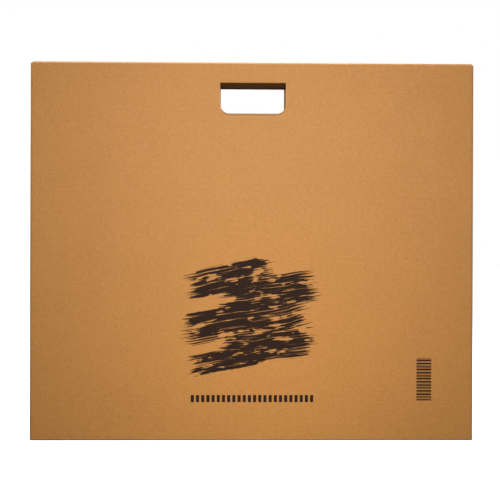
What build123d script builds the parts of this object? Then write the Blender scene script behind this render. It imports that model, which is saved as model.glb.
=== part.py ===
from build123d import *
import os

# A flat carrying case folded from one die-cut blank of kraft corrugated board.
# Frame: +X across the case, the front face looks along -Y, +Z up.
# Origin: the middle of the case's footprint, on the surface it stands on.

os.makedirs("parts", exist_ok=True)

# ---------------------------------------------------------------- driving dimensions (mm)
WIDTH = 628.0           # outside of one side wall to outside of the other
DEPTH = 50.0            # front face to back face
FRONT_HEIGHT = 533.0    # cut top edge of the front panel above the floor
LID_RISE = 3.5          # lid's top face above that edge
BOARD = 1.6             # thickness of E-flute board

CREASE_GAP = 0.9        # from a crease's axis to the board on each side of it
CREASE_R = 0.75         # radius of the crushed board along a crease
SLIDE_GAP = 0.4         # between a side wall and the ear that slides inside it
TUCK_GAP = 0.3          # between the front panel and the tuck flap behind it
EAR_GAP = 0.3           # between an ear and the fold that it turns about

HOLE_WIDTH = 93.0       # hand hole, square at the top and rounded at the bottom
HOLE_HEIGHT = 47.0
HOLE_CORNER = 12.8
HOLE_DROP = 26.7        # hole's top edge below the front panel's top edge
TUCK_HOLE_RISE = 4.0    # the tuck flap's hole sits this much higher

HAND_FLAP_WIDTH = 92.0  # cut from the hole, so nearly as wide
HAND_FLAP_LENGTH = 45.0
HAND_FLAP_CORNER = 11.5

TUCK_LENGTH = 113.0     # lid's top face to the tuck flap's free edge
TUCK_TOP_HALF = 309.0   # half width along the crease
TUCK_HALF = 302.0       # half width below the shoulders
TUCK_SHOULDER_TOP = 6.5     # shoulder slants between these depths below the lid's top
TUCK_SHOULDER_END = 14.5
TUCK_CORNER = 28.0

EAR_LENGTH = 44.7       # towards the front
EAR_BOTTOM = 6.0
EAR_TOP = 520.0
EAR_CORNER = 22.0

LID_HALF = 312.6        # half width of the lid
LID_BEVEL = 3.0         # bevel at the lid's front corners

TAB_LENGTH = 40.0       # corner tab, across the bottom panel
TAB_FRONT = -20.0
TAB_BACK = 19.0
TAB_BEVEL = 8.0
GLUE = 0.15             # thickness of the glue film under a corner tab
GLUE_MARGIN = 5.0

# ---------------------------------------------------------------- places worked out from them
HALF = BOARD / 2
HEIGHT = FRONT_HEIGHT + LID_RISE
FRONT_Y = -DEPTH / 2 + HALF             # middle of the front panel's thickness
BACK_Y = DEPTH / 2 - HALF
WALL_X = WIDTH / 2 - HALF
LID_Z = HEIGHT - HALF
BACK_INNER_Y = DEPTH / 2 - BOARD
TUCK_Y = -DEPTH / 2 + BOARD + TUCK_GAP + HALF
EAR_X = WIDTH / 2 - BOARD - SLIDE_GAP - HALF
EAR_INNER_X = EAR_X - HALF              # the ears fold about this edge
HOLE_TOP = FRONT_HEIGHT - HOLE_DROP
HAND_CREASE_Z = HOLE_TOP + HALF         # folded in, the flap's underside is the hole's top
TAB_Z = BOARD + GLUE + HALF
FRONT_HALF = WALL_X - CREASE_GAP        # half width of the front panel
PANEL_BOTTOM = HALF + CREASE_GAP        # bottom edge of the front and back panels
SIDES = (("left", -1), ("right", 1))

# ---------------------------------------------------------------- the punched hand hole
# Drawn hanging from its top edge, and subtracted from three panels.
with BuildSketch() as hand_hole:
    Rectangle(HOLE_WIDTH, HOLE_HEIGHT, align=(Align.CENTER, Align.MAX))
    fillet(hand_hole.vertices().group_by(Axis.Y)[0], HOLE_CORNER)

# ---------------------------------------------------------------- front and bottom
with BuildPart() as front_panel:
    with BuildSketch(Plane.XZ.offset(-FRONT_Y)):
        with Locations((0, PANEL_BOTTOM)):
            Rectangle(2 * FRONT_HALF, FRONT_HEIGHT - PANEL_BOTTOM, align=(Align.CENTER, Align.MIN))
        with Locations((0, HOLE_TOP)):
            add(hand_hole.sketch, mode=Mode.SUBTRACT)
            Rectangle(
                HOLE_WIDTH,
                HAND_CREASE_Z + CREASE_GAP - HOLE_TOP,
                align=(Align.CENTER, Align.MIN),
                mode=Mode.SUBTRACT,
            )
    extrude(amount=HALF, both=True)
front_panel.part.label = "front_panel"
export_step(front_panel.part, "parts/front_panel.step")

with BuildPart() as bottom_panel:
    with BuildSketch(Plane.XY.offset(HALF)):
        Rectangle(WIDTH, 2 * (BACK_Y - CREASE_GAP))
    extrude(amount=HALF, both=True)
bottom_panel.part.label = "bottom_panel"
export_step(bottom_panel.part, "parts/bottom_panel.step")

# ---------------------------------------------------------------- creases across the case
# Each is a slim round bar of crushed board on the axis that two panels fold about.
ACROSS_CREASES = (
    ("front_crease", FRONT_Y, HALF, FRONT_HALF),
    ("back_crease", BACK_Y, HALF, EAR_INNER_X),
    ("lid_crease", BACK_Y, LID_Z, EAR_INNER_X),
    ("tuck_crease", TUCK_Y, LID_Z, TUCK_TOP_HALF),
    ("hand_flap_crease", FRONT_Y, HAND_CREASE_Z, HAND_FLAP_WIDTH / 2),
)
for crease_name, crease_y, crease_z, half_length in ACROSS_CREASES:
    with BuildPart() as across_crease:
        with BuildSketch(Plane.YZ):
            with Locations((crease_y, crease_z)):
                Circle(CREASE_R)
        extrude(amount=half_length, both=True)
    across_crease.part.label = crease_name
    export_step(across_crease.part, f"parts/{crease_name}.step")

# ---------------------------------------------------------------- side walls and corner tabs
# The side walls fold back from the front panel and stand on the bottom panel.
for side, sign in SIDES:
    with BuildPart() as side_wall:
        with BuildSketch(Plane.YZ.offset(sign * WALL_X)):
            wall_bottom = TAB_Z + CREASE_GAP
            wall_front = FRONT_Y + CREASE_GAP
            with Locations((wall_front, wall_bottom)):
                Rectangle(DEPTH / 2 - wall_front, FRONT_HEIGHT - wall_bottom, align=(Align.MIN, Align.MIN))
        extrude(amount=HALF, both=True)
    side_wall.part.label = f"{side}_side_wall"
    export_step(side_wall.part, f"parts/{side}_side_wall.step")

    with BuildPart() as wall_crease:
        with BuildSketch(Plane.XY.offset(wall_bottom)):
            with Locations((sign * WALL_X, FRONT_Y)):
                Circle(CREASE_R)
        extrude(amount=FRONT_HEIGHT - wall_bottom)
    wall_crease.part.label = f"{side}_wall_crease"
    export_step(wall_crease.part, f"parts/{side}_wall_crease.step")

    with BuildPart() as corner_tab:
        with BuildSketch(Plane.XY.offset(TAB_Z)) as tab_outline:
            tab_root = sign * (WALL_X - CREASE_GAP)
            with Locations((tab_root - sign * TAB_LENGTH / 2, (TAB_FRONT + TAB_BACK) / 2)):
                Rectangle(TAB_LENGTH, TAB_BACK - TAB_FRONT)
            inner_corners = tab_outline.vertices().group_by(Axis.X)[0 if sign > 0 else -1]
            chamfer(inner_corners, TAB_BEVEL)
        extrude(amount=HALF, both=True)
    corner_tab.part.label = f"{side}_corner_tab"
    export_step(corner_tab.part, f"parts/{side}_corner_tab.step")

    with BuildPart() as tab_crease:
        with BuildSketch(Plane.XZ.offset(-TAB_FRONT)):
            with Locations((sign * WALL_X, TAB_Z)):
                Circle(CREASE_R)
        extrude(amount=-(TAB_BACK - TAB_FRONT))
    tab_crease.part.label = f"{side}_tab_crease"
    export_step(tab_crease.part, f"parts/{side}_tab_crease.step")

with BuildPart() as tab_glue:
    with BuildSketch(Plane.XY.offset(BOARD)):
        tab_middle = WALL_X - CREASE_GAP - TAB_LENGTH / 2
        with Locations((-tab_middle, (TAB_FRONT + TAB_BACK) / 2), (tab_middle, (TAB_FRONT + TAB_BACK) / 2)):
            RectangleRounded(
                TAB_LENGTH - 3 * GLUE_MARGIN,
                TAB_BACK - TAB_FRONT - 2 * GLUE_MARGIN,
                GLUE_MARGIN,
            )
    extrude(amount=GLUE)
tab_glue.part.label = "tab_glue"
export_step(tab_glue.part, "parts/tab_glue.step")

# ---------------------------------------------------------------- back panel
with BuildPart() as back_panel:
    with BuildSketch(Plane.XZ.offset(-BACK_Y)):
        with Locations((0, PANEL_BOTTOM)):
            Rectangle(2 * EAR_INNER_X, LID_Z - CREASE_GAP - PANEL_BOTTOM, align=(Align.CENTER, Align.MIN))
        with Locations((0, HOLE_TOP)):
            add(hand_hole.sketch, mode=Mode.SUBTRACT)
    extrude(amount=HALF, both=True)
back_panel.part.label = "back_panel"
export_step(back_panel.part, "parts/back_panel.step")

# ---------------------------------------------------------------- ears and their creases
# The ears slide inside the side walls and fold inwards about the back panel's inner
# corners, so each crease is a quarter-round strip that stays on the back panel.
for side, sign in SIDES:
    with BuildPart() as ear:
        with BuildSketch(Plane.YZ.offset(sign * EAR_X)) as ear_outline:
            with Locations((BACK_INNER_Y - EAR_GAP, EAR_BOTTOM)):
                Rectangle(EAR_LENGTH, EAR_TOP - EAR_BOTTOM, align=(Align.MAX, Align.MIN))
            fillet(ear_outline.vertices().group_by(Axis.Y)[0], EAR_CORNER)
        extrude(amount=HALF, both=True)
    ear.part.label = f"{side}_ear"
    export_step(ear.part, f"parts/{side}_ear.step")

    with BuildPart() as ear_crease:
        with BuildSketch(Plane.XY.offset(EAR_BOTTOM)):
            with BuildLine():
                inner = Vector(sign * EAR_INNER_X, BACK_INNER_Y)
                outer = Vector(sign * (EAR_INNER_X + BOARD), BACK_INNER_Y)
                back = Vector(sign * EAR_INNER_X, DEPTH / 2)
                Line(inner, outer)
                RadiusArc(outer, back, -sign * BOARD)
                Line(back, inner)
            make_face()
        extrude(amount=EAR_TOP - EAR_BOTTOM)
    ear_crease.part.label = f"{side}_ear_crease"
    export_step(ear_crease.part, f"parts/{side}_ear_crease.step")

# ---------------------------------------------------------------- hand flap, folded inwards
with BuildPart() as hand_flap:
    with BuildSketch(Plane.XY.offset(HAND_CREASE_Z)) as hand_flap_outline:
        with Locations((0, FRONT_Y + CREASE_GAP)):
            Rectangle(
                HAND_FLAP_WIDTH,
                HAND_FLAP_LENGTH - CREASE_GAP,
                align=(Align.CENTER, Align.MIN),
            )
        fillet(hand_flap_outline.vertices().group_by(Axis.Y)[-1], HAND_FLAP_CORNER)
    extrude(amount=HALF, both=True)
hand_flap.part.label = "hand_flap"
export_step(hand_flap.part, "parts/hand_flap.step")

# ---------------------------------------------------------------- lid and tuck flap
with BuildPart() as lid_panel:
    with BuildSketch(Plane.XY.offset(LID_Z)) as lid_outline:
        with Locations((0, TUCK_Y + CREASE_GAP)):
            Rectangle(
                2 * LID_HALF,
                BACK_Y - TUCK_Y - 2 * CREASE_GAP,
                align=(Align.CENTER, Align.MIN),
            )
        chamfer(lid_outline.vertices().group_by(Axis.Y)[0], LID_BEVEL)
    extrude(amount=HALF, both=True)
lid_panel.part.label = "lid_panel"
export_step(lid_panel.part, "parts/lid_panel.step")

with BuildPart() as tuck_flap:
    with BuildSketch(Plane.XZ.offset(-TUCK_Y)):
        with BuildLine():
            tuck_right = Polyline(
                (0, LID_Z - CREASE_GAP),
                (TUCK_TOP_HALF, LID_Z - CREASE_GAP),
                (TUCK_TOP_HALF, HEIGHT - TUCK_SHOULDER_TOP),
                (TUCK_HALF, HEIGHT - TUCK_SHOULDER_END),
                (TUCK_HALF, HEIGHT - TUCK_LENGTH + TUCK_CORNER),
            )
            tuck_arc = TangentArc(
                tuck_right @ 1,
                (TUCK_HALF - TUCK_CORNER, HEIGHT - TUCK_LENGTH),
                tangent=(0, -1),
            )
            Line(tuck_arc @ 1, (0, HEIGHT - TUCK_LENGTH))
            mirror(about=Plane.YZ)
        make_face()
        with Locations((0, HOLE_TOP + TUCK_HOLE_RISE)):
            add(hand_hole.sketch, mode=Mode.SUBTRACT)
    extrude(amount=HALF, both=True)
tuck_flap.part.label = "tuck_flap"
export_step(tuck_flap.part, "parts/tuck_flap.step")
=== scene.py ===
import math
from collections import namedtuple

import bmesh
import bpy
from mathutils import Matrix, Vector, noise


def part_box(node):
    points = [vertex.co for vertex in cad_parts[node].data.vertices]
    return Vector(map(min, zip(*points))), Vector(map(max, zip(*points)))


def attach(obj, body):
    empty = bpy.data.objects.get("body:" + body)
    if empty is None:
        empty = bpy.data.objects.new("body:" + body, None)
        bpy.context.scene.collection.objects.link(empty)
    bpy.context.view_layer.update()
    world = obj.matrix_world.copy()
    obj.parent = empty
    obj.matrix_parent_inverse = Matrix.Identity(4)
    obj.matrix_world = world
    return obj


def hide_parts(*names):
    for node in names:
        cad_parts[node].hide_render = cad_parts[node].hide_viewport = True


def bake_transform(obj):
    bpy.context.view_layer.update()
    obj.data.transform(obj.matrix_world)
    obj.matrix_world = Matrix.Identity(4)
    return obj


# A flat carrying case folded from one blank of kraft E-flute board, dressed around its CAD frame.
# Every board is built as it is made: two liners with a fluted sheet between them.
# Lengths are in metres, in the frame's own axes: +X across, -Y the front, +Z up.

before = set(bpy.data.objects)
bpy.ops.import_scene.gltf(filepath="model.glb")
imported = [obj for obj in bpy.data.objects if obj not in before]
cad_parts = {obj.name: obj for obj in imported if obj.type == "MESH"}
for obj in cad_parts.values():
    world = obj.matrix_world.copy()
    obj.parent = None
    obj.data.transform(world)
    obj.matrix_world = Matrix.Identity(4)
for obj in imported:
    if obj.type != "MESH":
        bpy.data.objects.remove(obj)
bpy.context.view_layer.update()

# ---------------------------------------------------------------- board and print, in metres
MM = 0.001
LINER = 0.26 * MM           # thickness of each liner
MEDIUM = 0.18 * MM          # thickness of the fluted sheet
FLUTE_PITCH = 3.32 * MM
FLUTE_STEPS = 8             # rows of points in one flute
MIN_ROWS = 3                # a ribbon of flutes with fewer rows is left out
LEG = 4 * MM                # a fold's strip reaches this far from its axis
TUCK_LEG = 5 * MM
FOLD_R = 3.2 * MM           # outside radius of a fold
TUCK_R = 4.6 * MM
EAR_R = 2.1 * MM
FLAP_R = 1.65 * MM
ARC_STEPS = 7
FOLD_STEP = 12 * MM         # length of one mesh step along a fold
SHARP_DEGREES = 40          # edges of a fold's mesh that bend more than this stay sharp
CRUSH = 0.08 * MM           # unevenness of a fold's bend
CRUSH_ALONG = 55            # its noise, in cycles per metre along and across the fold
CRUSH_ACROSS = 400
SHOULDER_RUN = 1 * MM       # depth over which a fold's shoulder reaches its full step
BEVEL_FROM = 0.5            # a bevelled end starts to draw in this many legs before the bend
BEVEL_RUN = 1.4             # and takes this many legs to draw in fully
GAP = 0.05 * MM             # hairline between a fold's strip and its boards

# ---------------------------------------------------------------- places read from the frame
Box = namedtuple("Box", "low high")


def node_box(name):
    low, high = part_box(name)
    return Box(Vector(low), Vector(high))


front_box = node_box("front_panel")
back_box = node_box("back_panel")
bottom_box = node_box("bottom_panel")
wall_box = node_box("right_side_wall")
lid_box = node_box("lid_panel")
tuck_box = node_box("tuck_flap")
ear_box = node_box("right_ear")
tab_box = node_box("right_corner_tab")
flap_box = node_box("hand_flap")

BOARD = front_box.high.y - front_box.low.y
HALF = BOARD / 2
FRONT_Y = (front_box.low.y + front_box.high.y) / 2
BACK_Y = (back_box.low.y + back_box.high.y) / 2
TUCK_Y = (tuck_box.low.y + tuck_box.high.y) / 2
BOTTOM_Z = (bottom_box.low.z + bottom_box.high.z) / 2
LID_Z = (lid_box.low.z + lid_box.high.z) / 2
TAB_Z = (tab_box.low.z + tab_box.high.z) / 2
FLAP_Z = (flap_box.low.z + flap_box.high.z) / 2
WALL_X = (wall_box.low.x + wall_box.high.x) / 2
EAR_X = (ear_box.low.x + ear_box.high.x) / 2
BACK_HALF = back_box.high.x
FRONT_TOP = front_box.high.z

# The hand hole is square at the top, rounded at the bottom, and higher in the tuck flap.
HOLE_HALF = 46.5 * MM
HOLE_HEIGHT = 47 * MM
HOLE_CORNER = 12.8 * MM
HOLE_TOP = FRONT_TOP - 26.7 * MM
TUCK_HOLE_RISE = 4 * MM
FLAP_HALF = flap_box.high.x
FLAP_CORNER = 11.5 * MM
EAR_CORNER = 22 * MM
TUCK_CORNER = 28 * MM
TUCK_HALF = 302 * MM
TUCK_SHOULDERS = (6.5 * MM, 14.5 * MM)
TAB_BEVEL = 8 * MM
LID_BEVELS = (6.0 * MM, 1.6 * MM)   # left and right ends of the lid's front fold
WALL_FOOT = 1.5 * MM                # a side wall's board reaches this far below its CAD plate
FRONT_FOLD_END = 4.2 * MM           # the front fold runs on this far under the corner folds
CORNER_ROUNDING = 1 * MM            # room that the corner folds' rounded insides take
SIDES = (("left", -1), ("right", 1))

X = Vector((1, 0, 0))
Y = Vector((0, 1, 0))
Z = Vector((0, 0, 1))


# ---------------------------------------------------------------- outlines
def corner(centre, radius, start_degrees, end_degrees, steps=10):
    """Points of a round corner, from one direction to the other."""
    points = []
    for i in range(steps + 1):
        angle = math.radians(start_degrees + (end_degrees - start_degrees) * i / steps)
        points.append((centre[0] + radius * math.cos(angle), centre[1] + radius * math.sin(angle)))
    return points


def rectangle(u0, u1, v0, v1):
    return [(u0, v0), (u1, v0), (u1, v1), (u0, v1)]


def mirrored(right_half):
    """A whole outline from its right half, listed from bottom to top."""
    return right_half + [(-u, v) for u, v in reversed(right_half)]


def hand_hole(top, notch_half=0.0, notch_top=0.0):
    """The punched hole; a notch above it leaves room for the flap's fold."""
    bottom = top - HOLE_HEIGHT
    right = corner((HOLE_HALF - HOLE_CORNER, bottom + HOLE_CORNER), HOLE_CORNER, -90, 0)
    right.append((HOLE_HALF, top))
    if notch_half:
        right += [(notch_half, top), (notch_half, notch_top)]
    return mirrored(right)


# ---------------------------------------------------------------- boards
# A Lay says where a flat board lies: u along its flutes, v across them, w towards its outer face.
Lay = namedtuple("Lay", "origin u v w")


def crossings(loops, v):
    """Where a line at height v crosses the outline, as pairs (u0, u1)."""
    cuts = []
    for loop in loops:
        for (u0, v0), (u1, v1) in zip(loop, loop[1:] + loop[:1]):
            if (v0 <= v) != (v1 <= v):
                cuts.append(u0 + (u1 - u0) * (v - v0) / (v1 - v0))
    cuts.sort()
    return list(zip(cuts[::2], cuts[1::2]))


def to_space(lay, u, v, w):
    return lay.origin + lay.u * u + lay.v * v + lay.w * w


def add_liner(bm, uv, loops, lay, low, high, material):
    """One closed liner sheet between the depths low and high."""
    flat = bmesh.new()
    for loop in loops:
        ring = [flat.verts.new((u, v, low)) for u, v in loop]
        for a, b in zip(ring, ring[1:] + ring[:1]):
            flat.edges.new((a, b))
    bmesh.ops.triangle_fill(flat, use_beauty=True, edges=flat.edges[:])
    lifted = bmesh.ops.extrude_face_region(flat, geom=flat.faces[:])["geom"]
    for item in lifted:
        if isinstance(item, bmesh.types.BMVert):
            item.co.z = high
    bmesh.ops.recalc_face_normals(flat, faces=flat.faces[:])
    copies = {v: bm.verts.new(to_space(lay, *v.co)) for v in flat.verts}
    for face in flat.faces:
        copy = bm.faces.new([copies[v] for v in face.verts])
        copy.material_index = material if abs(face.normal.z) > 0.5 else 1
        for loop, old in zip(copy.loops, face.verts):
            loop[uv].uv = (old.co.x, old.co.y)
    flat.free()


def add_face(bm, uv, corners, lay):
    face = bm.faces.new(corners)
    face.material_index = 1
    face.smooth = False
    for loop in face.loops:
        place = loop.vert.co - lay.origin
        loop[uv].uv = (place.dot(lay.u), place.dot(lay.v))


def add_medium(bm, uv, loops, lay):
    """The fluted sheet between the liners, as closed ribbons that follow the outline."""
    height = HALF - LINER - MEDIUM / 2
    levels = sorted({round(v, 6) for loop in loops for _, v in loop})
    low, high = levels[0], levels[-1]
    step = FLUTE_PITCH / FLUTE_STEPS
    rows = [low + step * i for i in range(1, int((high - low) / step))]
    ribbons = {}
    finished = []
    for v in rows:
        spans = crossings(loops, v)
        if len(spans) != len(ribbons):
            finished += ribbons.values()
            ribbons = {i: [] for i in range(len(spans))}
        for i, span in enumerate(spans):
            ribbons[i].append((v, span))
    finished += ribbons.values()
    for ribbon in finished:
        if len(ribbon) < MIN_ROWS:
            continue
        rings = []
        for v, (u0, u1) in ribbon:
            phase = 2 * math.pi * v / FLUTE_PITCH
            w = height * math.sin(phase)
            slope = height * math.cos(phase) * 2 * math.pi / FLUTE_PITCH
            lean = MEDIUM / 2 / math.hypot(1, slope)
            over = (v - slope * lean, w + lean)
            under = (v + slope * lean, w - lean)
            ring = [(u0, over), (u1, over), (u1, under), (u0, under)]
            rings.append([bm.verts.new(to_space(lay, u, *spot)) for u, spot in ring])
        for a, b in zip(rings, rings[1:]):
            for i in range(4):
                j = (i + 1) % 4
                add_face(bm, uv, (a[i], a[j], b[j], b[i]), lay)
        add_face(bm, uv, rings[0], lay)
        add_face(bm, uv, rings[-1][::-1], lay)


def finish_mesh(name, bm, materials, body, nodes):
    """Turns the mesh into a piece that rides its body and stands for its CAD nodes."""
    bmesh.ops.recalc_face_normals(bm, faces=bm.faces[:])
    mesh = bpy.data.meshes.new(name)
    bm.to_mesh(mesh)
    bm.free()
    for material in materials:
        mesh.materials.append(material)
    piece = bpy.data.objects.new(name, mesh)
    bpy.context.scene.collection.objects.link(piece)
    if body:
        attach(piece, body)
    if nodes:
        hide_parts(*nodes)
    return piece


def board(name, loops, lay, body, nodes, outer):
    """A corrugated board: an outer liner, a fluted sheet and an inner liner."""
    bm = bmesh.new()
    uv = bm.loops.layers.uv.new("board")
    add_liner(bm, uv, loops, lay, HALF - LINER, HALF, 0)
    add_liner(bm, uv, loops, lay, -HALF, LINER - HALF, 2)
    add_medium(bm, uv, loops, lay)
    return finish_mesh(name, bm, (outer, core_material, inner_material), body, nodes)


# ---------------------------------------------------------------- folds
def fold_section(leg, radius):
    """The section of a right-angle fold, in its two boards' directions, outer side first."""
    inner_radius = radius - BOARD
    centre = radius - HALF
    tip = leg - GAP
    halfway = (tip + centre) / 2
    points = [(tip, -HALF), (halfway, -HALF)]
    points += corner((centre, centre), radius, 270, 180, ARC_STEPS)
    points += [(-HALF, halfway), (-HALF, tip), (HALF, tip), (HALF, halfway)]
    points += corner((centre, centre), inner_radius, 180, 270, ARC_STEPS)
    points += [(halfway, HALF), (tip, HALF)]
    return points


def fold_ends(span, p, q, leg, bevels, shoulder):
    """Where a fold's strip starts and ends, at the point (p, q) of its section."""
    cut = min(max(((p - q) / leg + BEVEL_FROM) / BEVEL_RUN, 0), 1)
    start = span[0] + bevels[0] * cut
    end = span[1] - bevels[1] * cut
    if shoulder and q > shoulder[0]:
        grown = min((q - shoulder[0]) / SHOULDER_RUN, 1)
        step = shoulder[1] + (shoulder[2] - shoulder[1]) * grown
        start += step
        end -= step
    return start, end


def fold(name, axis_point, a, b, along, span, nodes, bodies,
         leg=LEG, radius=FOLD_R, bevels=(0, 0), shoulder=None, painted_highlight=False):
    """A strip of crushed board from the board that leaves the fold's axis along a to the one along b.

    bevels says how far the two ends draw in, from nothing at b's board to all of it at a's.
    shoulder is (depth, first, last): deeper than depth along b, both ends also step in, by first
    and then by up to last.
    """
    section = fold_section(leg, radius)
    count = max(int((span[1] - span[0]) / FOLD_STEP), 2)
    bm = bmesh.new()
    uv = bm.loops.layers.uv.new("board")
    rings = []
    for i in range(count + 1):
        share = i / count
        ring = []
        for p, q in section:
            start, end = fold_ends(span, p, q, leg, bevels, shoulder)
            s = start + (end - start) * share
            spot = Vector((s * CRUSH_ALONG, p * CRUSH_ACROSS, q * CRUSH_ACROSS))
            crush = CRUSH * noise.noise(spot)
            soft = crush * max(1 - abs(p - q) / leg, 0)
            ring.append(bm.verts.new(axis_point + a * (p + soft) + b * (q + soft) + along * s))
        rings.append(ring)
    total = len(section)
    for before, after in zip(rings, rings[1:]):
        for i in range(total):
            j = (i + 1) % total
            face = bm.faces.new((before[i], before[j], after[j], after[i]))
            face.smooth = True
    bm.faces.new(rings[0])
    bm.faces.new(rings[-1][::-1])
    for face in bm.faces:
        for loop in face.loops:
            place = loop.vert.co - axis_point
            loop[uv].uv = (place.dot(along), place.dot(b) - place.dot(a))
    body = None if isinstance(bodies, tuple) else bodies
    # The highlighted fold material has a painted highlight, a lighter and bluer line, beside its bend.
    material = highlit_fold_material if painted_highlight else fold_material
    piece = finish_mesh(name, bm, (material,), body, nodes)
    piece.data.set_sharp_from_angle(angle=math.radians(SHARP_DEGREES))
    if isinstance(bodies, tuple):
        reach = leg - HALF
        start = axis_point + a * reach
        end = axis_point + b * reach
        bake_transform(piece)
    return piece


# ---------------------------------------------------------------- node helpers
class Graph:
    """Short names for the shader nodes that the materials share."""

    def __init__(self, material):
        material.use_nodes = True
        self.tree = material.node_tree
        self.tree.nodes.clear()
        self.place = self.add("ShaderNodeTexCoord").outputs["Object"]
        board_map = self.add("ShaderNodeUVMap")
        board_map.uv_map = "board"
        self.board = board_map.outputs["UV"]

    def add(self, kind):
        return self.tree.nodes.new(kind)

    def set(self, socket, value):
        if isinstance(value, bpy.types.NodeSocket):
            self.tree.links.new(value, socket)
        else:
            socket.default_value = value

    def math(self, operation, *values):
        node = self.add("ShaderNodeMath")
        node.operation = operation
        for socket, value in zip(node.inputs, values):
            self.set(socket, value)
        return node.outputs[0]

    def plus(self, first, second):
        return self.math("ADD", first, second)

    def minus(self, first, second):
        return self.math("SUBTRACT", first, second)

    def times(self, first, second):
        return self.math("MULTIPLY", first, second)

    def over(self, first, second):
        return self.math("DIVIDE", first, second)

    def larger(self, first, second):
        return self.math("MAXIMUM", first, second)

    def size(self, value):
        return self.math("ABSOLUTE", value)

    def sine(self, value):
        return self.math("SINE", value)

    def split(self, vector):
        node = self.add("ShaderNodeSeparateXYZ")
        self.set(node.inputs[0], vector)
        return node.outputs

    def join(self, x, y, z=0.0):
        node = self.add("ShaderNodeCombineXYZ")
        for socket, value in zip(node.inputs, (x, y, z)):
            self.set(socket, value)
        return node.outputs[0]

    def scaled(self, vector, x, y=None, z=None):
        """vector times x, y and z, or times x in every direction."""
        node = self.add("ShaderNodeVectorMath")
        node.operation = "MULTIPLY"
        self.set(node.inputs[0], vector)
        node.inputs[1].default_value = (x, x, x) if y is None else (x, y, z)
        return node.outputs[0]

    def noise(self, vector, detail=2.0, roughness=0.5):
        node = self.add("ShaderNodeTexNoise")
        node.inputs["Scale"].default_value = 1.0
        node.inputs["Detail"].default_value = detail
        node.inputs["Roughness"].default_value = roughness
        self.set(node.inputs["Vector"], vector)
        return node.outputs["Fac"]

    def ramp(self, value, low, high, to_low=0.0, to_high=1.0):
        """value from low..high, smoothly, to to_low..to_high."""
        node = self.add("ShaderNodeMapRange")
        node.interpolation_type = "SMOOTHSTEP"
        for name, number in zip(("Value", "From Min", "From Max", "To Min", "To Max"),
                                (value, low, high, to_low, to_high)):
            self.set(node.inputs[name], number)
        return node.outputs["Result"]

    def mix(self, share, first, second, blend="MIX"):
        node = self.add("ShaderNodeMix")
        node.data_type = "RGBA"
        node.blend_type = blend
        self.set(node.inputs["Factor"], share)
        for socket, value in ((node.inputs[6], first), (node.inputs[7], second)):
            self.set(socket, value)
        return node.outputs[2]

    def bump(self, height, distance, strength, normal=None):
        node = self.add("ShaderNodeBump")
        node.inputs["Distance"].default_value = distance
        node.inputs["Strength"].default_value = strength
        self.set(node.inputs["Height"], height)
        if normal is not None:
            self.set(node.inputs["Normal"], normal)
        return node.outputs["Normal"]

    def surface(self, color, roughness, normal, specular):
        shader = self.add("ShaderNodeBsdfPrincipled")
        self.set(shader.inputs["Base Color"], color)
        self.set(shader.inputs["Roughness"], roughness)
        self.set(shader.inputs["Normal"], normal)
        self.set(shader.inputs["Specular IOR Level"], specular)
        output = self.add("ShaderNodeOutputMaterial")
        self.tree.links.new(shader.outputs[0], output.inputs["Surface"])


def rgb(red, green, blue):
    return (red, green, blue, 1.0)


def tinted(color, red, green, blue):
    return rgb(color[0] * red, color[1] * green, color[2] * blue)


def darker(color, share):
    return tinted(color, share, share, share)


# ---------------------------------------------------------------- the print: strokes, blocks and bars
STROKES = (     # middle x, middle z, half length, half width, tilt in degrees
    (-0.032, 0.231, 0.094, 0.026, 12),
    (0.022, 0.212, 0.104, 0.030, 7),
    (-0.010, 0.171, 0.138, 0.031, 10),
    (0.022, 0.134, 0.104, 0.027, 6),
    (-0.036, 0.114, 0.082, 0.020, 11),
)
ROW = (0.0, 0.0595, 0.0880, 0.0050)         # middle x, middle z, half length, half height
BARS = (0.2440, 0.0870, 0.0105, 0.0300)
BLOCK_PITCH = 7.34 * MM
BLOCK_HALF = 0.31           # half a block's length, as a share of the pitch
BAR_WAVES = (1450, 3900)    # two waves that add up to bars of uneven width, in radians per metre
BAR_LEVEL = -0.3
BEND_SCALE = 14             # a stroke's wander along its length, in cycles per metre
BEND_DEPTH = 12 * MM        # and across it
HAIR_SCALE = (11, 620)      # streaks, in cycles per metre along and across a stroke
BLOT_SCALE = (38, 90)       # bare blots, likewise
DRYNESS = 0.37              # streaks higher than this are inked in the middle of a stroke
PRINT_GRAIN = 2600          # thin spots in the ink, in cycles per metre


def stroke_noise(graph, along, across, scales, seed, detail=2.0, roughness=0.5):
    """Noise that is stretched along a stroke."""
    place = graph.join(graph.times(along, scales[0]), graph.times(across, scales[1]), seed)
    return graph.noise(place, detail, roughness)


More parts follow.
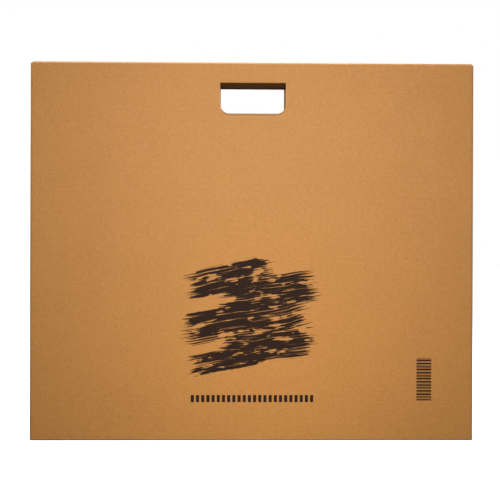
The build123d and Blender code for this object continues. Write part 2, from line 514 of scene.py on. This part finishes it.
def stroke_ink(graph, x, z, number):
    """One broad dry-brush stroke: full in the middle, streaked towards its ends and edges."""
    middle_x, middle_z, half_length, half_width, tilt = STROKES[number]
    cos, sin = math.cos(math.radians(tilt)), math.sin(math.radians(tilt))
    dx = graph.minus(x, middle_x)
    dz = graph.minus(z, middle_z)
    along = graph.plus(graph.times(dx, cos), graph.times(dz, sin))
    across = graph.minus(graph.times(dz, cos), graph.times(dx, sin))
    bend = graph.noise(graph.join(graph.times(along, BEND_SCALE), number * 7.0))
    across = graph.plus(across, graph.times(graph.minus(bend, 0.5), BEND_DEPTH))
    bristles = stroke_noise(graph, along, across, HAIR_SCALE, number * 3.0, 3.0, 0.6)
    reach = graph.over(graph.size(along), half_length)
    side = graph.over(graph.size(across), half_width)
    at_ends = graph.ramp(reach, 0.4, 1.05, 0.0, 0.6)
    at_edges = graph.ramp(side, 0.6, 1.04, 0.0, 0.62)
    dryness = graph.larger(at_ends, at_edges)
    for distance in (side, reach):
        dryness = graph.plus(dryness, graph.ramp(distance, 0.98, 1.1, 0.0, 0.5))
    blots = stroke_noise(graph, along, across, BLOT_SCALE, number * 5.0)
    dryness = graph.plus(dryness, graph.ramp(blots, 0.5, 0.68, 0.0, 0.22))
    return graph.ramp(graph.minus(bristles, graph.plus(dryness, DRYNESS)), -0.015, 0.03)


def within(graph, value, middle, half):
    return graph.math("LESS_THAN", graph.size(graph.minus(value, middle)), half)


def inside(graph, x, z, area):
    middle_x, middle_z, half_length, half_height = area
    across = within(graph, x, middle_x, half_length)
    along = within(graph, z, middle_z, half_height)
    return graph.times(across, along)


def print_ink(graph):
    """How much ink lies at each point of the front face."""
    place = graph.split(graph.place)
    x, z = place["X"], place["Z"]
    ink = stroke_ink(graph, x, z, 0)
    for number in range(1, len(STROKES)):
        ink = graph.larger(ink, stroke_ink(graph, x, z, number))
    cell = graph.math("FRACT", graph.over(x, BLOCK_PITCH))
    blocks = graph.times(within(graph, cell, 0.5, BLOCK_HALF), inside(graph, x, z, ROW))
    ink = graph.larger(ink, blocks)
    wide, fine = (graph.sine(graph.times(z, wave)) for wave in BAR_WAVES)
    bars = graph.math("GREATER_THAN", graph.plus(wide, fine), BAR_LEVEL)
    ink = graph.larger(ink, graph.times(bars, inside(graph, x, z, BARS)))
    grain = graph.noise(graph.scaled(graph.place, PRINT_GRAIN))
    return graph.times(ink, graph.ramp(grain, 0.22, 0.42, 0.86, 1.0))


# ---------------------------------------------------------------- kraft
KRAFT = rgb(0.460, 0.200, 0.040)
INNER_KRAFT = rgb(0.440, 0.210, 0.055)
CORE_KRAFT = rgb(0.360, 0.180, 0.070)
FOLD_KRAFT = rgb(0.450, 0.192, 0.038)
INK = rgb(0.024, 0.013, 0.009)
GLUE = rgb(0.520, 0.430, 0.270)
ROUGH = (0.62, 0.80)            # between the fibres and on them
FOLD_GLOSS_ROUGH = (0.40, 0.55)
SHINE = 0.42
FOLD_GLOSS_SHINE = 0.60
INK_SHINE = 0.06
RELIEF = 0.045 * MM             # height of the fibres and the washboard
WAVE_HEIGHT = 3 * MM            # depth of the board's slow waves


def past_hole(graph, top):
    """How far a point of a board lies outside the hand hole whose top is at this height."""
    place = graph.split(graph.place)
    across = graph.minus(graph.size(place["X"]), HOLE_HALF - HOLE_CORNER)
    along = graph.size(graph.minus(place["Z"], top - HOLE_HEIGHT / 2))
    along = graph.minus(along, HOLE_HEIGHT / 2 - HOLE_CORNER)
    across = graph.larger(across, 0.0)
    along = graph.larger(along, 0.0)
    square = graph.plus(graph.times(across, across), graph.times(along, along))
    return graph.minus(graph.math("SQRT", square), HOLE_CORNER)


def kraft(name, color, printed=False, washboard=1.0, highlight_strength=0.0, hole_shade=False):
    """Kraft liner: fibres along the flutes, fine mottle, specks and faint washboard lines.

    The highlight strength paints a lighter, bluer highlight on the line beside a fold's bend, where light
    catches the crease, and also makes that liner glossier.
    The hole shade paints darker, bluer shade round the hand hole, where the tuck flap lies behind the
    front board's edge.
    """
    material = bpy.data.materials.new(name)
    graph = Graph(material)
    across_flutes = graph.split(graph.board)["Y"]
    cloud = graph.noise(graph.scaled(graph.place, 22))
    mottle = graph.noise(graph.scaled(graph.place, 150, 165, 165), 2.0, 0.6)
    blotch = graph.noise(graph.scaled(graph.place, 430, 450, 450), 2.0, 0.7)
    fibres = graph.noise(graph.scaled(graph.board, 560, 1900, 1), 4.0, 0.65)
    grain = graph.noise(graph.scaled(graph.place, 1500), 3.0, 0.6)
    specks = graph.noise(graph.scaled(graph.board, 330, 760, 1), 1.0)
    flute = graph.sine(graph.times(across_flutes, 2 * math.pi / FLUTE_PITCH))
    pale = tinted(color, 1.08, 1.12, 1.85)
    straw = tinted(color, 1.16, 1.20, 1.50)
    # Lighter, bluer tone for painted highlights beside folds and round the hand hole.
    painted_highlight = tinted(color, 1.55, 1.75, 2.60)

    tone = graph.mix(graph.ramp(cloud, 0.3, 0.7), darker(color, 0.975), darker(color, 1.025))
    layers = (      # a pattern, two values of it, how much of the colour lies at each, and the colour
        (mottle, 0.30, 0.50, 0.42, 0.0, darker(color, 0.88)),
        (mottle, 0.50, 0.70, 0.0, 0.45, pale),
        (blotch, 0.28, 0.50, 0.75, 0.0, darker(color, 0.80)),
        (blotch, 0.50, 0.72, 0.0, 0.85, pale),
        (fibres, 0.35, 0.75, 0.0, 0.30, straw),
        (fibres, 0.18, 0.42, 0.30, 0.0, darker(color, 0.78)),
        (grain, 0.30, 0.75, 0.0, 0.22, darker(color, 0.86)),
        (specks, 0.71, 0.78, 0.0, 0.50, darker(color, 0.50)),
        (flute, -1.0, 1.0, 0.0, 0.09 * washboard, darker(color, 0.80)),
    )
    for pattern, low, high, at_low, at_high, layer in layers:
        tone = graph.mix(graph.ramp(pattern, low, high, at_low, at_high), tone, layer)
    # Painted highlight: a lighter, bluer line 1 to 3.4 mm from a fold's bend, standing in for light
    # caught by the crease.
    if highlight_strength:
        from_bend = graph.size(across_flutes)
        rising = graph.ramp(from_bend, 1.0 * MM, 1.7 * MM)
        falling = graph.ramp(from_bend, 2.6 * MM, 3.4 * MM, highlight_strength, 0.0)
        tone = graph.mix(graph.times(rising, falling), tone, painted_highlight)
    # Painted shade: darker, bluer board round the tuck flap's hand hole, where the front board shades it.
    if hole_shade:
        outside = past_hole(graph, HOLE_TOP + TUCK_HOLE_RISE)
        painted_shade = graph.ramp(outside, 3.0 * MM, 9.0 * MM, 0.9, 0.0)
        tone = graph.mix(painted_shade, tone, tinted(color, 0.76, 0.80, 1.05))
    rough = graph.ramp(fibres, 0.2, 0.8, *(FOLD_GLOSS_ROUGH if highlight_strength else ROUGH))
    shine = FOLD_GLOSS_SHINE if highlight_strength else SHINE
    if printed:
        # Painted highlight: a lighter ring round the front's hand hole, standing in for light caught by
        # its cut edge.
        hole_highlight = graph.ramp(past_hole(graph, HOLE_TOP), 0.7 * MM, 2.2 * MM, 0.22, 0.0)
        tone = graph.mix(hole_highlight, tone, painted_highlight)
        ink = print_ink(graph)
        tone = graph.mix(ink, tone, INK)
        shine = graph.ramp(ink, 0.0, 1.0, shine, INK_SHINE)

    relief = graph.times(flute, 0.5 * washboard)
    for pattern, share in ((fibres, 0.55), (grain, 0.25)):
        relief = graph.plus(relief, graph.times(pattern, share))
    normal = graph.bump(relief, RELIEF, 1.0)
    waves = graph.noise(graph.scaled(graph.place, 9))
    normal = graph.bump(waves, WAVE_HEIGHT, 0.4, normal)
    graph.surface(tone, rough, normal, shine)
    return material


def glue_film(name):
    """Dried hot-melt adhesive, blotchy and half glossy."""
    material = bpy.data.materials.new(name)
    graph = Graph(material)
    blotch = graph.noise(graph.scaled(graph.place, 260), 3.0)
    tone = graph.mix(graph.ramp(blotch, 0.35, 0.7), GLUE, darker(GLUE, 0.7))
    rough = graph.ramp(blotch, 0.3, 0.7, 0.25, 0.5)
    graph.surface(tone, rough, graph.bump(blotch, 0.2 * MM, 0.6), 0.5)
    return material


outer_material = kraft("kraft_outer", KRAFT)
# The printed liner also has a painted highlight round its hand hole.
printed_material = kraft("kraft_printed", KRAFT, printed=True)
inner_material = kraft("kraft_inner", INNER_KRAFT, washboard=1.6)
core_material = kraft("kraft_core", CORE_KRAFT, washboard=0.0)
fold_material = kraft("kraft_fold", FOLD_KRAFT, washboard=0.0)
# The front and tuck folds get a painted highlight beside their bends.
highlit_fold_material = kraft("kraft_fold_painted_highlight", FOLD_KRAFT, washboard=0.0, highlight_strength=0.6)
# The tuck flap gets painted shade round its hand hole.
tuck_material = kraft("kraft_tuck", KRAFT, hole_shade=True)
glue_material = glue_film("tab_glue")

# ---------------------------------------------------------------- front and bottom of the case
side_edge = WALL_X - LEG            # the front board stops here, where the corner folds begin
floor_edge = BOTTOM_Z + LEG         # and here, where the folds along the bottom begin
front_ends = side_edge + FRONT_FOLD_END

board(
    "front_board",
    [
        rectangle(-side_edge, side_edge, floor_edge, FRONT_TOP),
        hand_hole(HOLE_TOP, FLAP_HALF + GAP, FLAP_Z + LEG),
    ],
    Lay(Y * FRONT_Y, X, Z, -Y), "shell", ["front_panel"], printed_material,
)
board(
    "bottom_board",
    [rectangle(bottom_box.low.x, bottom_box.high.x, FRONT_Y + LEG, BACK_Y - LEG)],
    Lay(Z * BOTTOM_Z, X, Y, -Z), "shell", ["bottom_panel"], outer_material,
)
# The front fold's liner has a painted highlight beside its bend.
fold(
    "front_fold", Vector((0, FRONT_Y, BOTTOM_Z)), Y, Z, X, (-front_ends, front_ends),
    ["front_crease"], "shell", painted_highlight=True,
)
fold(
    "back_fold", Vector((0, BACK_Y, BOTTOM_Z)), -Y, Z, X, (-BACK_HALF, BACK_HALF),
    ["back_crease"], ("shell", "back"),
)

# ---------------------------------------------------------------- side walls with their glued corner tabs
wall_foot = wall_box.low.z - WALL_FOOT
for side, sign in SIDES:
    out = X * sign
    tab = node_box(f"{side}_corner_tab")
    wall_outline = [
        (FRONT_Y + LEG, TAB_Z + LEG),
        (tab.high.y + GAP, TAB_Z + LEG),
        (tab.high.y + GAP, wall_foot),
        (wall_box.high.y, wall_foot),
        (wall_box.high.y, wall_box.high.z),
        (FRONT_Y + LEG, wall_box.high.z),
    ]
    board(
        f"{side}_wall_board", [wall_outline], Lay(out * WALL_X, Y, Z, out),
        "shell", [f"{side}_side_wall"], outer_material,
    )
    fold(
        f"{side}_wall_fold", Vector((sign * WALL_X, FRONT_Y, 0)), -out, Y, Z,
        (floor_edge + GAP, wall_box.high.z), [f"{side}_wall_crease"], "shell",
    )
    fold(
        f"{side}_tab_fold", Vector((sign * WALL_X, 0, TAB_Z)), Z, -out, Y,
        (tab.low.y, tab.high.y), [f"{side}_tab_crease"], "shell",
    )
    reach = WALL_X - tab_box.low.x
    tab_outline = [
        (tab.low.y, LEG), (tab.high.y, LEG), (tab.high.y, reach - TAB_BEVEL),
        (tab.high.y - TAB_BEVEL, reach), (tab.low.y + TAB_BEVEL, reach), (tab.low.y, reach - TAB_BEVEL),
    ]
    board(
        f"{side}_tab_board", [tab_outline], Lay(out * WALL_X + Z * TAB_Z, Y, -out, -Z),
        "shell", [f"{side}_corner_tab"], outer_material,
    )
glue_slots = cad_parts["tab_glue"].data.materials
glue_slots.clear()
glue_slots.append(glue_material)

# ---------------------------------------------------------------- back panel with its ears
ear_span = (ear_box.low.z, ear_box.high.z)
ear_edge = EAR_X - LEG
back_outline = mirrored([
    (BACK_HALF, floor_edge), (BACK_HALF, ear_span[0] - GAP), (ear_edge, ear_span[0] - GAP),
    (ear_edge, ear_span[1] + GAP), (BACK_HALF, ear_span[1] + GAP), (BACK_HALF, LID_Z - LEG),
])
board(
    "back_board", [back_outline, hand_hole(HOLE_TOP)],
    Lay(Y * BACK_Y, X, Z, Y), "back", ["back_panel"], outer_material,
)
ear_root = BACK_Y - LEG
ear_tip = ear_box.low.y
ear_outline = [(ear_root, ear_span[0]), (ear_root, ear_span[1])]
ear_outline += corner((ear_tip + EAR_CORNER, ear_span[1] - EAR_CORNER), EAR_CORNER, 90, 180)
ear_outline += corner((ear_tip + EAR_CORNER, ear_span[0] + EAR_CORNER), EAR_CORNER, 180, 270)
for side, sign in SIDES:
    out = X * sign
    fold(
        f"{side}_ear_fold", Vector((sign * EAR_X, BACK_Y, 0)), -out, -Y, Z,
        ear_span, [f"{side}_ear_crease"], ("back", f"{side}_ear"), radius=EAR_R,
    )
    board(
        f"{side}_ear_board", [ear_outline], Lay(out * EAR_X, Y, Z, out),
        f"{side}_ear", [f"{side}_ear"], outer_material,
    )

# ---------------------------------------------------------------- hand flap, folded in through the hole
fold(
    "hand_flap_fold", Vector((0, FRONT_Y, FLAP_Z)), Z, Y, X, (-FLAP_HALF, FLAP_HALF),
    ["hand_flap_crease"], ("shell", "hand_flap"), radius=FLAP_R,
)
flap_outline = [(FLAP_HALF, FRONT_Y + LEG)]
flap_outline += corner((FLAP_HALF - FLAP_CORNER, flap_box.high.y - FLAP_CORNER), FLAP_CORNER, 0, 90)
board(
    "hand_flap_board", [mirrored(flap_outline)], Lay(Z * FLAP_Z, X, Y, -Z),
    "hand_flap", ["hand_flap"], outer_material,
)

# ---------------------------------------------------------------- lid and tuck flap
lid_half = lid_box.high.x
lid_front = TUCK_Y + TUCK_LEG
wall_inside = WALL_X - HALF - CORNER_ROUNDING
tuck_shoulder = (LID_Z - wall_box.high.z, lid_half - wall_inside, lid_half - tuck_box.high.x)
fold(
    "lid_fold", Vector((0, BACK_Y, LID_Z)), -Z, -Y, X, (-BACK_HALF, BACK_HALF),
    ["lid_crease"], ("back", "lid"),
)
lid_outline = [
    (-BACK_HALF, BACK_Y - LEG), (-lid_half, BACK_Y - 2 * LEG), (-lid_half, lid_front + TUCK_LEG),
    (-lid_half + LID_BEVELS[0], lid_front), (lid_half - LID_BEVELS[1], lid_front),
    (lid_half, lid_front + TUCK_LEG), (lid_half, BACK_Y - 2 * LEG), (BACK_HALF, BACK_Y - LEG),
]
board(
    "lid_board", [lid_outline], Lay(Z * LID_Z, X, Y, Z),
    "lid", ["lid_panel"], outer_material,
)
# The tuck fold's liner has a painted highlight beside its bend.
fold(
    "tuck_fold", Vector((0, TUCK_Y, LID_Z)), Y, -Z, X, (-lid_half, lid_half), ["tuck_crease"],
    ("lid", "tuck"), leg=TUCK_LEG, radius=TUCK_R, bevels=LID_BEVELS, shoulder=tuck_shoulder, painted_highlight=True,
)
lid_top = lid_box.high.z
tuck_top_half = tuck_box.high.x
tuck_right = corner((TUCK_HALF - TUCK_CORNER, tuck_box.low.z + TUCK_CORNER), TUCK_CORNER, -90, 0)
tuck_right += [
    (TUCK_HALF, lid_top - TUCK_SHOULDERS[1]), (tuck_top_half, lid_top - TUCK_SHOULDERS[0]),
    (tuck_top_half, LID_Z - TUCK_LEG),
]
# The tuck board's liner has painted shade round its hand hole.
board(
    "tuck_board", [mirrored(tuck_right), hand_hole(HOLE_TOP + TUCK_HOLE_RISE)],
    Lay(Y * TUCK_Y, X, Z, -Y), "tuck", ["tuck_flap"], tuck_material,
)

# ---------------------------------------------------------------- stage, light and camera
FACE_DISTANCE = 1.20        # camera to the front face
VIEW_WIDTH = 0.7077         # what the picture spans at the front face
CAMERA_SWING = 1.0          # degrees, towards the case's left side
CAMERA_ROLL = 0.2
AIM = Vector((-0.0036, front_box.low.y, 0.2698))
SENSOR = 36.0               # the camera sensor's width, in millimetres
FLOOR_HALF = 12.0
FLOOR_SEEN = rgb(0.92, 0.92, 0.92)      # the floor's colour to the camera
FLOOR_LIT = rgb(0.07, 0.07, 0.07)       # and to the light that falls on it
FLOOR_GLOW = 0.76
WORLD_LIGHT = 0.30          # light from all round, where white behind the case is 1
LIGHTS = (                  # name, place, what it points at, size, power in watts, colour
    ("key", (0.02, -0.725, 0.53), (0.02, 0, 0.27), (0.4, 0.1), 5.85, (0.99, 1.0, 1.06)),
    ("low", (0.02, -0.325, 0.08), (0.02, 0, 0.08), (0.3, 0.06), 0.36, (1.0, 0.86, 0.5)),
    ("top", (-0.15, 0.27, 1.30), (0, 0, 0.5), (1.2, 0.5), 14, (0.92, 0.92, 1.0)),
    ("back_fill", (-0.7, 1.4, 1.05), (0, 0, 0.4), (1.6, 1.1), 8, (0.93, 0.90, 1.0)),
    ("left_fill", (-1.6, 0.5, 0.6), (0, 0, 0.3), (1.0, 1.0), 6, (1.0, 1.0, 1.0)),
    ("right_fill", (1.6, 0.5, 0.6), (0, 0, 0.3), (1.0, 1.0), 6, (1.0, 1.0, 1.0)),
)


def stage_floor():
    """A pale floor that reads as a white sweep in the picture and throws little light back up."""
    mesh = bpy.data.meshes.new("floor")
    corners = [(-FLOOR_HALF, -FLOOR_HALF, 0), (FLOOR_HALF, -FLOOR_HALF, 0)]
    corners += [(FLOOR_HALF, FLOOR_HALF, 0), (-FLOOR_HALF, FLOOR_HALF, 0)]
    mesh.from_pydata(corners, [], [(0, 1, 2, 3)])
    floor = bpy.data.objects.new("floor", mesh)
    bpy.context.scene.collection.objects.link(floor)
    material = bpy.data.materials.new("floor")
    material.use_nodes = True
    nodes = material.node_tree.nodes
    links = material.node_tree.links
    nodes.clear()
    seen = nodes.new("ShaderNodeLightPath").outputs["Is Camera Ray"]
    matte = nodes.new("ShaderNodeBsdfDiffuse")
    matte.inputs["Color"].default_value = FLOOR_LIT
    bright = nodes.new("ShaderNodeBsdfDiffuse")
    bright.inputs["Color"].default_value = FLOOR_SEEN
    glow = nodes.new("ShaderNodeEmission")
    glow.inputs["Strength"].default_value = FLOOR_GLOW
    sweep = nodes.new("ShaderNodeAddShader")
    links.new(bright.outputs[0], sweep.inputs[0])
    links.new(glow.outputs[0], sweep.inputs[1])
    either = nodes.new("ShaderNodeMixShader")
    links.new(seen, either.inputs[0])
    links.new(matte.outputs[0], either.inputs[1])
    links.new(sweep.outputs[0], either.inputs[2])
    output = nodes.new("ShaderNodeOutputMaterial")
    links.new(either.outputs[0], output.inputs["Surface"])
    mesh.materials.append(material)


def area_light(name, place, aim, size, power, color):
    lamp = bpy.data.lights.new(name, "AREA")
    lamp.shape = "RECTANGLE"
    lamp.size, lamp.size_y = size
    lamp.energy = power
    lamp.color = color
    light = bpy.data.objects.new(name, lamp)
    light.location = place
    light.rotation_euler = (Vector(aim) - Vector(place)).to_track_quat("-Z", "Y").to_euler()
    light.visible_camera = False
    bpy.context.scene.collection.objects.link(light)


def studio_world(strength):
    """White behind the object, and a softer light from all round on it."""
    world = bpy.data.worlds.new("studio")
    world.use_nodes = True
    nodes = world.node_tree.nodes
    links = world.node_tree.links
    background = nodes["Background"]
    background.inputs["Color"].default_value = rgb(1.0, 1.0, 1.0)
    seen = nodes.new("ShaderNodeLightPath").outputs["Is Camera Ray"]
    level = nodes.new("ShaderNodeMapRange")
    level.inputs["To Min"].default_value = strength
    level.inputs["To Max"].default_value = 1.0
    links.new(seen, level.inputs["Value"])
    links.new(level.outputs["Result"], background.inputs["Strength"])
    bpy.context.scene.world = world


def front_camera():
    lens = bpy.data.cameras.new("camera")
    lens.sensor_width = SENSOR
    lens.lens = SENSOR * FACE_DISTANCE / VIEW_WIDTH
    lens.clip_start = 0.01
    camera = bpy.data.objects.new("camera", lens)
    swing = math.radians(CAMERA_SWING)
    away = Vector((-math.sin(swing), -math.cos(swing), 0))
    camera.location = AIM + away * FACE_DISTANCE
    turn = (AIM - camera.location).to_track_quat("-Z", "Y").to_matrix()
    camera.rotation_euler = (turn @ Matrix.Rotation(math.radians(CAMERA_ROLL), 3, "Z")).to_euler()
    bpy.context.scene.collection.objects.link(camera)
    bpy.context.scene.camera = camera


stage_floor()
studio_world(WORLD_LIGHT)
for light in LIGHTS:
    area_light(*light)
front_camera()
bpy.context.scene.view_settings.view_transform = "Standard"
